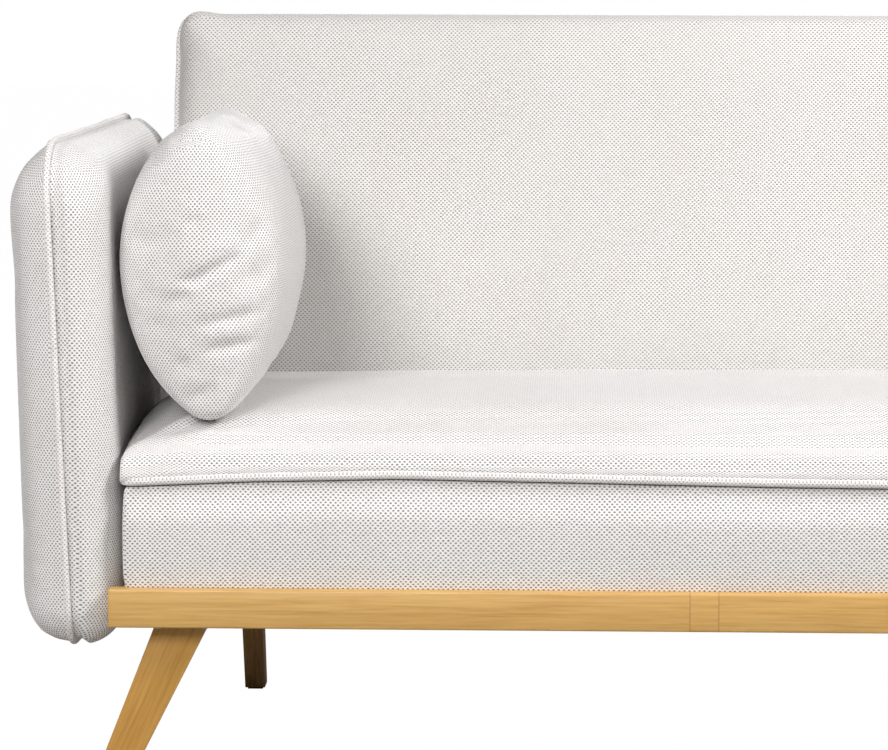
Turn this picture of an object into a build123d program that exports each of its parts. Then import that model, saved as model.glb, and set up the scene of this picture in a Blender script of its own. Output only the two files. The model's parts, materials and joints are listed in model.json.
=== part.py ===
from build123d import *
import math
import os

# Sofa bed with a show wood base, in millimetres.
# Modelled with Y = 0 at the front of the show rail and the left side at -X,
# then moved so that the middle of its footprint is the origin.

# Seat
SEAT_WIDTH = 1654.0
SEAT_SETBACK = 17.0
SEAT_DEPTH = 440.0
SEAT_THICKNESS = 178.0
SEAT_SEAM_DROP = 61.0
SEAT_CROWN = 14.0
BORDER_PAD = 14.0
BORDER_BULGE = 3.0
SEAT_BOARD = 20.0
SEAT_FOAM = 16.0
WELT = 3.0
WELT_REACH = 6.0
WELT_SIDE_REACH = 2.0
SEAT_ROLL = 34.0
SEAT_REAR_ROLL = 18.0
FELT = 6.0
SEAT_WEBBING = 2.0
SEAT_WEBBING_COUNT = 12
CLOTH = 1.5

# Base
LEG_HEIGHT = 187.0
RAIL_HEIGHT = 41.0
RAIL = 22.0
RAIL_OVERHANG = 13.5
BASE_DEPTH = 620.0
BLOCK_WIDTH = 100.0
BLOCK_DEPTH = 70.0
CROSS_RAIL = 30.0

# Legs
LEG_TOP_WIDTH = 52.0
LEG_FOOT_WIDTH = 33.0
LEG_THICKNESS = 24.0
LEG_SPLAY = 24.2
FRONT_LEG_INSET = 60.5
REAR_LEG_INSET = 90.0
LEG_PLATE = 3.0
LEG_PLATE_SIZE = 64.0
LEG_SCREW_INSET = 8.0
LEG_BOLT_DEPTH = 40.0
LEG_GLIDE = 2.0
LEG_GLIDE_MARGIN = 3.0

# Arms
ARM_THICKNESS = 103.0
ARM_HEIGHT = 531.0
ARM_DEPTH = 700.0
ARM_BOTTOM = 159.0
ARM_SETBACK = 10.0
ARM_FLARE = 1.6
ARM_GAP = 1.2
ARM_CORNER = 70.0
ARM_SMALL_CORNER = 46.0
ARM_ROUND = 42.0
ARM_SEAM_ROUND = 6.0
ARM_PANEL = 20.0
ARM_PANEL_INSET = 16.0
ARM_WELT_REACH = 3.0
ARM_WELT_LAP = 15.0
ARM_BOLT_MARGIN = 58.0

# Back
BACK_SIDE_GAP = 2.0
BACK_HEIGHT = 826.0
BACK_LEAN = 18.0
BACK_FRONT = 75.0
BACK_REAR = 45.0
BACK_GAP = 3.5
BACK_ROUND = 26.0
BACK_CORNER = 36.0
BACK_TAIL = 58.0
BACK_WRAP = 22.0
BACK_WELT_REACH = 3.0
BACK_WELT_LAP = 18.0
BACK_BOARD = 26.0
BACK_BOARD_WIDTH = 45.0
BACK_NOTCH_RISE = 85.0
WEBBING_WIDTH = 50.0
WEBBING_COUNT = 9

# Hinges
HINGE_PLATE = 5.0
HINGE_GAP = 0.4
PIN_RADIUS = 6.0
RUNNING_CLEARANCE = 0.05
PIN_HEAD = 3.0
PIN_HEAD_RADIUS = 11.0
HINGE_HUB_RADIUS = 26.0
HINGE_FOOT = 110.0
HINGE_FOOT_INSET = 12.0
HINGE_ARM_HALF = 11.0
RATCHET_COVER = 8.0
RATCHET_COVER_RADIUS = 24.0

# Fasteners
SCREW_RADIUS = 2.0
SCREW_HEAD_RADIUS = 4.0
SCREW_HEAD = 2.0
SCREW_LENGTH = 18.0
BOLT_RADIUS = 4.0
BOLT_HEAD = 5.0
BOLT_HEAD_RADIUS = 8.0
BOLT_CLEARANCE = 0.3

# Loose pillows
PILLOW_LENGTH = 425.0
PILLOW_HEIGHT = 330.0
PILLOW_THICKNESS = 184.0
PILLOW_SETBACK = 36.0
PILLOW_LEAN = 2.6
PILLOW_TIP = 30.0
PILLOW_SETTLE = 0.75
PILLOW_ARM_GAP = 4.0
PILLOW_SEAT_GAP = 0.3

# Heights and places that follow from the sizes above
rail_top = LEG_HEIGHT + RAIL_HEIGHT
seat_height = rail_top + SEAT_THICKNESS
welt_top = seat_height - SEAT_SEAM_DROP + WELT / 2
welt_bottom = welt_top - WELT
felt_top = welt_top - SEAT_FOAM
webbing_top = felt_top - FELT
board_top = webbing_top - SEAT_WEBBING
board_bottom = rail_top + CLOTH
seat_half = SEAT_WIDTH / 2
seat_front = SEAT_SETBACK
seat_rear = seat_front + SEAT_DEPTH
board_half = seat_half - BORDER_PAD
board_front = seat_front + BORDER_PAD
board_rear = seat_rear - BORDER_PAD
rail_half = seat_half + RAIL_OVERHANG
side_rail_outer = seat_half - CLOTH
side_rail_inner = side_rail_outer - RAIL
block_inner = side_rail_inner - BLOCK_WIDTH
rear_rail_front = BASE_DEPTH - RAIL

# The pivot is as far behind the front of the back as it is below the seat, so
# that the back lies level with the seat when it is down.
lean = math.radians(BACK_LEAN)
pivot_y = seat_rear + BACK_GAP + BACK_FRONT
pivot_z = seat_height - BACK_FRONT
back_top = (BACK_HEIGHT - pivot_z - BACK_FRONT * math.sin(lean)) / math.cos(lean)
back_half = seat_half - BACK_SIDE_GAP

nodes = {}


def block(x0, x1, y0, y1, z0, z1):
    """A square edged piece between two corners."""
    size = (x1 - x0, y1 - y0, z1 - z0)
    return Pos(x0, y0, z0) * Box(*size, align=(Align.MIN, Align.MIN, Align.MIN))


def rod_x(radius, x0, x1, y, z):
    """A round bar along X."""
    bar = Cylinder(radius, x1 - x0, align=(Align.CENTER, Align.CENTER, Align.MIN))
    return Pos(x0, y, z) * Rot(0, 90, 0) * bar


def rod_z(radius, z0, z1, x, y):
    """A round bar along Z."""
    bar = Cylinder(radius, z1 - z0, align=(Align.CENTER, Align.CENTER, Align.MIN))
    return Pos(x, y, z0) * bar


def other_side(piece):
    """The same piece on the right of the sofa."""
    return mirror(piece, about=Plane.YZ)


def both_sides(name, piece):
    """Keep a left piece and its mirror as two nodes."""
    nodes["left_" + name] = piece
    nodes["right_" + name] = other_side(piece)


def both_in_one(pieces):
    """A group of left pieces with their mirrors."""
    return Compound([*pieces, *[other_side(piece) for piece in pieces]])


# Base: rails, corner blocks and the centre rail

nodes["front_rail"] = block(-rail_half, rail_half, 0, RAIL, LEG_HEIGHT, rail_top)
nodes["rear_rail"] = block(
    -side_rail_outer, side_rail_outer, rear_rail_front, BASE_DEPTH, LEG_HEIGHT, rail_top
)
side_rail = block(
    -side_rail_outer, -side_rail_inner, RAIL, rear_rail_front, LEG_HEIGHT, rail_top
)
nodes["centre_cross_rail"] = block(
    -CROSS_RAIL / 2, CROSS_RAIL / 2, RAIL, rear_rail_front, LEG_HEIGHT, rail_top
)
front_block = block(
    -side_rail_inner, -block_inner, RAIL, RAIL + BLOCK_DEPTH, LEG_HEIGHT, rail_top
)
rear_block = block(
    -side_rail_inner, -block_inner, rear_rail_front - BLOCK_DEPTH, rear_rail_front,
    LEG_HEIGHT, rail_top
)


# Legs: one tapered board, splayed sideways in front and backwards behind

leg_top = LEG_HEIGHT - LEG_PLATE
leg_slope = math.radians(LEG_SPLAY)
foot_shift = (leg_top - LEG_GLIDE) * math.tan(leg_slope)
leg_top_half = LEG_TOP_WIDTH / 2 / math.cos(leg_slope)
leg_foot_half = LEG_FOOT_WIDTH / 2 / math.cos(leg_slope)


def tapered_leg():
    """A leg board with the middle of its top at the origin and its foot towards -X."""
    foot = LEG_GLIDE - leg_top
    outline = Polyline(
        (-leg_top_half, 0),
        (leg_top_half, 0),
        (leg_foot_half - foot_shift, foot),
        (-leg_foot_half - foot_shift, foot),
        close=True,
    )
    board = extrude(Plane.XZ * make_face(outline), LEG_THICKNESS / 2, both=True)
    return board - rod_z(BOLT_RADIUS, -LEG_BOLT_DEPTH, 0, 0, 0)


def leg_glide():
    """A flat pad under a foot, a little smaller than the foot."""
    width = 2 * (leg_foot_half - LEG_GLIDE_MARGIN)
    pad = Box(width, LEG_THICKNESS - 2 * LEG_GLIDE_MARGIN, LEG_GLIDE)
    return Pos(-foot_shift, 0, LEG_GLIDE - leg_top - LEG_GLIDE / 2) * pad


def leg_bolt():
    """A bolt that joins a leg to its corner block."""
    return rod_z(BOLT_RADIUS, -LEG_BOLT_DEPTH, LEG_PLATE + RAIL_HEIGHT, 0, 0)


def leg_screws():
    """Four screws that hold a leg plate under its corner block."""
    reach = LEG_PLATE_SIZE / 2 - LEG_SCREW_INSET
    screw = rod_z(SCREW_RADIUS, 0, SCREW_LENGTH, 0, 0)
    screw += rod_z(SCREW_HEAD_RADIUS, -SCREW_HEAD, 0, 0, 0)
    return [Pos(x, y, 0) * screw for x in (-reach, reach) for y in (-reach, reach)]


def drilled(piece, cutters):
    """A piece with a hole for each cutter."""
    for cutter in cutters:
        piece -= cutter
    return piece


plate = Box(
    LEG_PLATE_SIZE, LEG_PLATE_SIZE, LEG_PLATE, align=(Align.CENTER, Align.CENTER, Align.MIN)
)
plate = drilled(plate, [leg_bolt(), *leg_screws()])

front_leg_place = Pos(
    -seat_half + FRONT_LEG_INSET, RAIL + LEG_PLATE_SIZE / 2, leg_top
)
rear_leg_place = Pos(
    -seat_half + REAR_LEG_INSET, BASE_DEPTH - LEG_PLATE_SIZE / 2, leg_top
) * Rot(0, 0, -90)
leg_places = (front_leg_place, rear_leg_place)

nodes["front_left_leg"] = front_leg_place * tapered_leg()
nodes["rear_left_leg"] = rear_leg_place * tapered_leg()
nodes["front_right_leg"] = other_side(nodes["front_left_leg"])
nodes["rear_right_leg"] = other_side(nodes["rear_left_leg"])

left_bolts = [place * leg_bolt() for place in leg_places]
left_screws = [place * screw for place in leg_places for screw in leg_screws()]
nodes["leg_plates"] = both_in_one([place * plate for place in leg_places])
nodes["leg_bolts"] = both_in_one(left_bolts)
nodes["leg_plate_screws"] = both_in_one(left_screws)
nodes["leg_glides"] = both_in_one([place * leg_glide() for place in leg_places])
leg_fixings = [*left_bolts, *left_screws]
nodes["corner_blocks"] = both_in_one(
    [drilled(front_block, leg_fixings), drilled(rear_block, leg_fixings)]
)
nodes["rear_rail"] = drilled(
    nodes["rear_rail"], [*leg_fixings, *[other_side(fixing) for fixing in leg_fixings]]
)


# Seat box: boards, webbing, felt and foam

board_inner = board_half - SEAT_BOARD
rear_board_half = board_inner - HINGE_PLATE
nodes["seat_dust_cover"] = block(
    -board_half, board_half, board_front, board_rear, rail_top, board_bottom
)
nodes["seat_front_board"] = block(
    -board_half, board_half, board_front, board_front + SEAT_BOARD, board_bottom, board_top
)
nodes["seat_rear_board"] = block(
    -rear_board_half, rear_board_half, board_rear - SEAT_BOARD, board_rear,
    board_bottom, board_top
)
seat_side_board = block(
    -board_half, -board_inner, board_front + SEAT_BOARD, board_rear, board_bottom, board_top
)
nodes["seat_centre_bar"] = block(
    -SEAT_BOARD / 2, SEAT_BOARD / 2, board_front + SEAT_BOARD, board_rear - SEAT_BOARD,
    board_bottom, board_top
)

strap_spacing = 2 * rear_board_half / SEAT_WEBBING_COUNT
seat_straps = []
for index in range(SEAT_WEBBING_COUNT):
    strap_x = (index + 0.5) * strap_spacing - rear_board_half
    seat_straps.append(
        block(
            strap_x - WEBBING_WIDTH / 2, strap_x + WEBBING_WIDTH / 2,
            board_front, board_rear, board_top, webbing_top
        )
    )
nodes["seat_webbing"] = Compound(seat_straps)
nodes["seat_felt"] = block(
    -board_half, board_half, board_front, board_rear, webbing_top, felt_top
)
nodes["seat_foam"] = block(
    -board_half, board_half, board_front, board_rear, felt_top, welt_top
)


# Seat upholstery: bulged borders, sewn welt and crowned top pad

def border_face(top):
    """The section of a border pad, with its outer side at 0 and bulged."""
    outer = ThreePointArc(
        (BORDER_BULGE, rail_top), (0, (rail_top + top) / 2), (BORDER_BULGE, top)
    )
    inner = Polyline(
        (BORDER_BULGE, top), (BORDER_PAD, top), (BORDER_PAD, rail_top), (BORDER_BULGE, rail_top)
    )
    return make_face(outer + inner)


front_plane = Plane(origin=(0, seat_front, 0), x_dir=(0, 1, 0), z_dir=(1, 0, 0))
rear_plane = Plane(origin=(0, seat_rear, 0), x_dir=(0, -1, 0), z_dir=(-1, 0, 0))
side_plane = Plane(origin=(-seat_half, seat_rear, 0), x_dir=(1, 0, 0), z_dir=(0, -1, 0))
nodes["seat_front_border"] = extrude(
    front_plane * border_face(welt_bottom), seat_half, both=True
)
nodes["seat_rear_border"] = extrude(
    rear_plane * border_face(welt_top), rear_board_half - HINGE_GAP, both=True
)
both_sides(
    "seat_side_border", extrude(side_plane * border_face(welt_bottom), seat_rear - board_front)
)

welt_half = seat_half + WELT_SIDE_REACH
welt_strip = block(
    -welt_half, welt_half, seat_front - WELT_REACH, seat_rear, welt_bottom, welt_top
)
welt_strip -= block(-board_half, board_half, board_front, seat_rear, welt_bottom, welt_top)
nodes["seat_welt"] = fillet(
    welt_strip.edges().filter_by(Axis.Z).group_by(Axis.Y)[0], WELT_REACH
)

pad_rise = seat_height - SEAT_CROWN - welt_top


def seat_pad_face(fullness):
    """The top pad's section across the sofa: rolled front and rear, crowned between.

    A fullness of 1 is the whole pad, and less of it is the rolled end by an arm.
    """
    rise = pad_rise * fullness
    front_roll = SEAT_ROLL * fullness
    rear_roll = SEAT_REAR_ROLL * fullness
    front = seat_front + WELT / 3
    rear = seat_rear - WELT / 3
    shoulder = welt_top + rise
    bend = welt_top + 2 * rise / 3
    crown_front = front + front_roll
    crown_rear = rear - rear_roll
    crown_top = shoulder + SEAT_CROWN * fullness
    outline = ThreePointArc(
        (front, welt_top), (front + front_roll / 6, bend), (crown_front, shoulder)
    )
    outline += ThreePointArc(
        (crown_front, shoulder), ((crown_front + crown_rear) / 2, crown_top), (crown_rear, shoulder)
    )
    outline += ThreePointArc((crown_rear, shoulder), (rear - rear_roll / 6, bend), (rear, welt_top))
    return make_face(outline + Line((rear, welt_top), (front, welt_top)))


pad_stations = [
    (-seat_half, 0.45), (-seat_half + SEAT_ROLL / 2, 0.88), (-seat_half + 2 * SEAT_ROLL, 1.0),
    (seat_half - 2 * SEAT_ROLL, 1.0), (seat_half - SEAT_ROLL / 2, 0.88), (seat_half, 0.45),
]
nodes["seat_top_pad"] = loft(
    [
        Plane(origin=(x, 0, 0), x_dir=(0, 1, 0), z_dir=(1, 0, 0)) * seat_pad_face(fullness)
        for x, fullness in pad_stations
    ],
    ruled=True,
)


# Arms: a panel between two pads, with a sewn welt where the pads meet

arm_lean = math.radians(ARM_FLARE)
arm_mid_x = seat_half + ARM_GAP + ARM_THICKNESS / 2 + ARM_HEIGHT / 2 * math.sin(arm_lean)
arm_mid_z = ARM_BOTTOM + ARM_HEIGHT / 2
arm_place = Pos(-arm_mid_x, ARM_SETBACK + ARM_DEPTH / 2, arm_mid_z) * Rot(0, -ARM_FLARE, 0)


def front_top(corner):
    """How far a corner of the arm is towards its upper front."""
    return corner.Y - corner.X


def arm_outline(grow):
    """The arm seen from the side, grown by a margin."""
    face = Rectangle(ARM_DEPTH + 2 * grow, ARM_HEIGHT + 2 * grow)
    face = fillet(sorted(face.vertices(), key=front_top)[:3], ARM_SMALL_CORNER + grow)
    face = fillet(sorted(face.vertices(), key=front_top)[-1:], ARM_CORNER + grow)
    return Plane.YZ * face


arm_panel = extrude(arm_outline(-ARM_PANEL_INSET), ARM_PANEL / 2, both=True)


def arm_pad():
    """Half an arm: rounded outside, drawn in at the seam, hollow for the panel."""
    pad = extrude(arm_outline(0), ARM_THICKNESS / 2 - WELT / 2)
    pad = fillet(pad.faces().sort_by(Axis.X)[-1].edges(), ARM_ROUND)
    pad = fillet(pad.faces().sort_by(Axis.X)[0].edges(), ARM_SEAM_ROUND)
    return Pos(WELT / 2, 0, 0) * pad - arm_panel


def arm_welt():
    """The sewn edge that stands out all round between the pads."""
    ring = arm_outline(ARM_WELT_REACH) - arm_outline(-ARM_WELT_LAP)
    return extrude(ring, WELT / 2, both=True)


bolt_z = LEG_HEIGHT + RAIL_HEIGHT / 2
panel_x = arm_mid_x - (arm_mid_z - bolt_z) * math.tan(arm_lean)
left_arm_bolts = []
left_arm_bolt_holes = []
block_reach = BLOCK_DEPTH + ARM_BOLT_MARGIN
for bolt_y in (RAIL + block_reach, rear_rail_front - block_reach):
    bolt = rod_x(BOLT_RADIUS, -panel_x, -side_rail_inner, bolt_y, bolt_z)
    bolt += rod_x(
        BOLT_HEAD_RADIUS, -side_rail_inner, -side_rail_inner + BOLT_HEAD, bolt_y, bolt_z
    )
    left_arm_bolts.append(bolt)
    left_arm_bolt_holes.append(
        rod_x(BOLT_RADIUS + BOLT_CLEARANCE, -panel_x, -side_rail_inner, bolt_y, bolt_z)
    )

both_sides("arm_panel", drilled(arm_place * arm_panel, left_arm_bolts))
both_sides("arm_inner_pad", drilled(arm_place * arm_pad(), left_arm_bolt_holes))
both_sides("arm_outer_pad", arm_place * mirror(arm_pad(), about=Plane.YZ))
both_sides("arm_welt", arm_place * arm_welt())
both_sides("side_rail", drilled(side_rail, left_arm_bolts))
nodes["arm_bolts"] = both_in_one(left_arm_bolts)


# Back, modelled upright about its pivot with its front towards -Y, then leaned

back_place = Pos(0, pivot_y, pivot_z) * Rot(-BACK_LEAN, 0, 0)
back_frame_half = board_inner - 2 * HINGE_PLATE - HINGE_GAP
seam_y = (BACK_REAR - BACK_FRONT) / 2
front_pad_rear = seam_y - WELT / 2
rear_pad_front = seam_y + WELT / 2
frame_rear = rear_pad_front + BACK_BOARD
frame_bottom = BACK_WRAP - BACK_TAIL
frame_top = back_top - BACK_WRAP


def back_outline(grow, bottom):
    """The back seen from the front, with round top corners."""
    half = back_half + grow
    top = back_top + grow
    corners = Polyline((-half, bottom), (half, bottom), (half, top), (-half, top), close=True)
    face = make_face(corners)
    return fillet(face.vertices().sort_by(Axis.Y)[-2:], BACK_CORNER + grow)


def without_corners(pad):
    """A back pad with room for a hinge at each lower corner."""
    for left, right in ((-back_half, -back_frame_half), (back_frame_half, back_half)):
        pad -= block(left, right, -BACK_FRONT, BACK_REAR, -BACK_FRONT, BACK_NOTCH_RISE)
    return pad


def back_front_pad():
    """The pad that is leaned on, rounded below about the pivot."""
    depth = BACK_FRONT + front_pad_rear
    pad = extrude(Plane.XZ.offset(-front_pad_rear) * back_outline(0, -BACK_FRONT), depth)
    front_edges = pad.faces().sort_by(Axis.Y)[0].edges().sort_by(Axis.Z)
    pad = fillet(front_edges[1:], BACK_ROUND)
    below = block(-back_half, back_half, -BACK_FRONT, front_pad_rear, -BACK_FRONT, 0)
    below -= rod_x(BACK_FRONT, -back_half, back_half, 0, 0)
    return without_corners(pad - below)


def back_rear_pad():
    """The pad behind the frame, hollow for the boards."""
    depth = BACK_REAR - rear_pad_front
    pad = extrude(Plane.XZ.offset(-rear_pad_front) * back_outline(0, -BACK_TAIL), -depth)
    rear_edges = pad.faces().sort_by(Axis.Y)[-1].edges().sort_by(Axis.Z)
    pad = fillet(rear_edges[1:], BACK_ROUND)
    pad -= block(
        -back_frame_half, back_frame_half, rear_pad_front, frame_rear, frame_bottom, frame_top
    )
    return without_corners(pad)


def back_welt():
    """The sewn edge over the top and down both sides."""
    strip = back_outline(BACK_WELT_REACH, BACK_NOTCH_RISE)
    strip -= back_outline(-BACK_WELT_LAP, BACK_NOTCH_RISE)
    return extrude(Plane.XZ.offset(-seam_y) * strip, WELT / 2, both=True)


def back_board(x0, x1, z0, z1):
    """A board of the back's frame."""
    return block(x0, x1, rear_pad_front, frame_rear, z0, z1)


side_inner = back_frame_half - BACK_BOARD_WIDTH
top_board_bottom = frame_top - BACK_BOARD_WIDTH
bottom_board_top = frame_bottom + BACK_BOARD_WIDTH
back_pieces = {
    "back_top_board": back_board(-back_frame_half, back_frame_half, top_board_bottom, frame_top),
    "back_bottom_board": back_board(-side_inner, side_inner, frame_bottom, bottom_board_top),
    "back_centre_board": back_board(
        -BACK_BOARD_WIDTH / 2, BACK_BOARD_WIDTH / 2, bottom_board_top, top_board_bottom
    ),
    "back_front_pad": back_front_pad(),
    "back_rear_pad": back_rear_pad(),
    "back_welt": back_welt(),
}
back_side_board = back_board(-back_frame_half, -side_inner, frame_bottom, top_board_bottom)

webbing_spacing = 2 * side_inner / WEBBING_COUNT
straps = []
for index in range(WEBBING_COUNT):
    strap_x = (index + 0.5) * webbing_spacing - side_inner
    straps.append(
        block(
            strap_x - WEBBING_WIDTH / 2, strap_x + WEBBING_WIDTH / 2, front_pad_rear,
            rear_pad_front, frame_bottom, frame_top
        )
    )
back_pieces["back_webbing"] = Compound(straps)


# Ratchet hinges: a plate on the seat box, a plate on the back and a pin

def screw_x(x, y, z):
    """A screw driven towards -X from a plate's face at x, with its head outside."""
    shank = rod_x(SCREW_RADIUS, x - SCREW_LENGTH, x, y, z)
    return shank + rod_x(SCREW_HEAD_RADIUS, x, x + SCREW_HEAD, y, z)


def hub(radius, x0, x1):
    """A round boss about the pivot, in the back's own place."""
    return rod_x(radius, x0, x1, 0, 0)


pivot_place = Pos(0, pivot_y, pivot_z)
seat_plate_inner = -board_inner + HINGE_PLATE
back_plate_outer = -back_frame_half - HINGE_PLATE
arm_centre = (rear_pad_front + frame_rear) / 2
arm_top = BACK_NOTCH_RISE - WELT

back_plate = hub(HINGE_HUB_RADIUS, back_plate_outer, -back_frame_half)
back_plate += block(
    back_plate_outer, -back_frame_half, arm_centre - HINGE_ARM_HALF,
    arm_centre + HINGE_ARM_HALF, 0, arm_top
)
back_plate -= hub(PIN_RADIUS + RUNNING_CLEARANCE, back_plate_outer, -back_frame_half)
back_screw_rows = [
    HINGE_HUB_RADIUS + share * (arm_top - HINGE_HUB_RADIUS) for share in (0.35, 0.8)
]
back_screws = [
    mirror(screw_x(-back_plate_outer, arm_centre, row), about=Plane.YZ)
    for row in back_screw_rows
]
back_plate = drilled(back_plate, back_screws)
back_side_board = drilled(back_side_board, back_screws)

foot_front = board_rear - HINGE_FOOT
foot_low = board_bottom + HINGE_FOOT_INSET
foot_high = board_top - HINGE_FOOT_INSET
plate_outline = Polyline(
    (foot_front, foot_low), (board_rear, foot_low), (pivot_y, pivot_z - HINGE_HUB_RADIUS),
    (pivot_y, pivot_z + HINGE_HUB_RADIUS), (board_rear, foot_high), (foot_front, foot_high),
    close=True,
)
plate_plane = Plane(origin=(-board_inner, 0, 0), x_dir=(0, 1, 0), z_dir=(1, 0, 0))
seat_plate = extrude(plate_plane * make_face(plate_outline), HINGE_PLATE)
seat_plate += pivot_place * hub(HINGE_HUB_RADIUS, -board_inner, seat_plate_inner)
seat_plate -= pivot_place * hub(PIN_RADIUS, -board_inner, seat_plate_inner)
foot_middle = (foot_low + foot_high) / 2
seat_screws = [
    screw_x(seat_plate_inner, foot_front + share * HINGE_FOOT, foot_middle)
    for share in (0.15, 0.4, 0.65)
]
seat_plate = drilled(seat_plate, seat_screws)

pin = hub(PIN_RADIUS, -board_inner, -back_frame_half - HINGE_GAP)
pin += hub(PIN_HEAD_RADIUS, -board_inner - PIN_HEAD, -board_inner)
cover = hub(RATCHET_COVER_RADIUS, -board_inner - RATCHET_COVER, -board_inner)
cover -= hub(PIN_HEAD_RADIUS, -board_inner - PIN_HEAD, -board_inner)

both_sides("seat_side_board", drilled(seat_side_board, seat_screws))
both_sides("seat_hinge_plate", seat_plate)
both_sides("hinge_pin", pivot_place * pin)
both_sides("ratchet_cover", pivot_place * cover)
both_sides("back_side_board", back_place * back_side_board)
both_sides("back_hinge_plate", back_place * back_plate)
nodes["seat_hinge_screws"] = both_in_one(seat_screws)
nodes["back_hinge_screws"] = both_in_one([back_place * screw for screw in back_screws])
for name, piece in back_pieces.items():
    nodes[name] = back_place * piece


# Loose pillows: a puffed lens section, drawn in towards both ends

def pillow_face(width, height):
    """A lens with rounded tips, seen from the end of a pillow."""
    half_width = width / 2
    half_height = height / 2
    right = ThreePointArc((0, -half_height), (half_width, 0), (0, half_height))
    left = ThreePointArc((0, half_height), (-half_width, 0), (0, -half_height))
    lens = make_face(right + left)
    return fillet(lens.vertices(), PILLOW_TIP)


pillow_stations = [
    (-0.5, 0.68, 0.91), (-0.46, 0.85, 0.955), (-0.34, 0.96, 0.985), (0.0, 1.0, 1.0),
    (0.34, 0.96, 0.985), (0.46, 0.85, 0.955), (0.5, 0.68, 0.91),
]
pillow = loft(
    [
        Plane.XZ.offset(-share * PILLOW_LENGTH)
        * Pos(0, (height - 1) * PILLOW_HEIGHT / 2 * PILLOW_SETTLE)
        * pillow_face(width * PILLOW_THICKNESS, height * PILLOW_HEIGHT)
        for share, width, height in pillow_stations
    ]
)
pillow = Rot(0, -PILLOW_LEAN, 0) * pillow
pillow_box = pillow.bounding_box()
pillow_z = seat_height + PILLOW_SEAT_GAP - pillow_box.min.Z
arm_inner = arm_mid_x - ARM_THICKNESS / 2 + (pillow_z - arm_mid_z) * math.tan(arm_lean)
pillow_x = -arm_inner + PILLOW_ARM_GAP - pillow_box.min.X
pillow_y = PILLOW_SETBACK + PILLOW_LENGTH / 2
both_sides("pillow", Pos(pillow_x, pillow_y, pillow_z) * pillow)


# The middle of the footprint is the origin, on the floor

overall_depth = max(piece.bounding_box().max.Y for piece in nodes.values())
footprint = Pos(0, -overall_depth / 2, 0)
print("depth", overall_depth, "pivot", pivot_y - overall_depth / 2, pivot_z)

os.makedirs("parts", exist_ok=True)
for name, piece in nodes.items():
    export_step(footprint * piece, f"parts/{name}.step")
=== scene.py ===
"""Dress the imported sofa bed: woven upholstery, honey wood base and loose pillows."""
import json
import logging
import math
from contextlib import contextmanager
from dataclasses import dataclass, field, replace
from enum import Enum
from typing import Callable, Dict, Iterator, Optional, Sequence, Tuple, Union

import bpy
import numpy as np
from mathutils import Matrix, Vector


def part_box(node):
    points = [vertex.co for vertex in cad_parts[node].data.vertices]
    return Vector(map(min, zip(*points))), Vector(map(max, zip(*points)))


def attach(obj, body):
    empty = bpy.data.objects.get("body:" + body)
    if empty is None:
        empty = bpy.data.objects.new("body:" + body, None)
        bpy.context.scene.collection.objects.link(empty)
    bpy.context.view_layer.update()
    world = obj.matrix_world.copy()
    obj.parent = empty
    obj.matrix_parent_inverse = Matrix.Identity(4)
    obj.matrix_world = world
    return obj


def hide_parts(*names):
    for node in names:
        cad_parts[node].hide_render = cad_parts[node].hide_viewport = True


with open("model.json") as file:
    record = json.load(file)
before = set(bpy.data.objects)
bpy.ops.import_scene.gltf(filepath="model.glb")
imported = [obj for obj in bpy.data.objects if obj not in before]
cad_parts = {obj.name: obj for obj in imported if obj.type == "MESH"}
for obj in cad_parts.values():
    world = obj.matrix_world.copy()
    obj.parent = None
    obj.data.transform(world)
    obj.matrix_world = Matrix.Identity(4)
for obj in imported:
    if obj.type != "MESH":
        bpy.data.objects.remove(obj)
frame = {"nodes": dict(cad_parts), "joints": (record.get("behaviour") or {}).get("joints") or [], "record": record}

LOG = logging.getLogger("sofa")
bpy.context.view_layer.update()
MM = 1000.0
FRONT_TURN = 2.5
REAR_TURN = 0.38
ROLL_STEPS = 61
ROLL_SPAN = 0.6
CLOTH_FEEL = {"quality": 4, "mass": 0.3, "tension_stiffness": 12.0,
              "compression_stiffness": 12.0, "shear_stiffness": 4.0, "bending_stiffness": 0.4}
Pair = Tuple[float, float]
Triple = Tuple[float, float, float]
Key = Union[int, str]
Socket = bpy.types.NodeSocket
Node = bpy.types.Node
Tree = bpy.types.NodeTree
Material = bpy.types.Material
Mesh = bpy.types.Mesh
Piece = bpy.types.Object


class Side(Enum):
    """The two ends of the sofa, seen from the front."""

    LEFT = -1
    RIGHT = 1


class Axis(Enum):
    """A direction of the model."""

    X = 0
    Y = 1
    Z = 2


def linear(colour: str) -> Tuple[float, float, float, float]:
    """Turn an sRGB hex colour into linear values.

    Args:
        colour: Six hex digits.

    Returns:
        Red, green, blue and a full alpha.
    """
    levels = [int(colour[start:start + 2], 16) / 255 for start in (0, 2, 4)]
    toned = [c / 12.92 if c <= 0.04045 else ((c + 0.055) / 1.055) ** 2.4 for c in levels]
    return (toned[0], toned[1], toned[2], 1.0)


def add_node(tree: Tree, kind: str, settings: Optional[Dict[Key, object]] = None,
             links: Optional[Dict[Key, Socket]] = None) -> Node:
    """Add a shader node with its settings and links.

    Args:
        tree: The node tree.
        kind: The node's type name.
        settings: Values for its input sockets, by name or number, or for its properties.
        links: Sockets that feed its inputs, by name or number.

    Returns:
        The new node.
    """
    node = tree.nodes.new(kind)
    for key, value in (settings or {}).items():
        if isinstance(key, str) and hasattr(node, key):
            setattr(node, key, value)
        else:
            node.inputs[key].default_value = value
    for key, socket in (links or {}).items():
        tree.links.new(socket, node.inputs[key])
    return node


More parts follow.
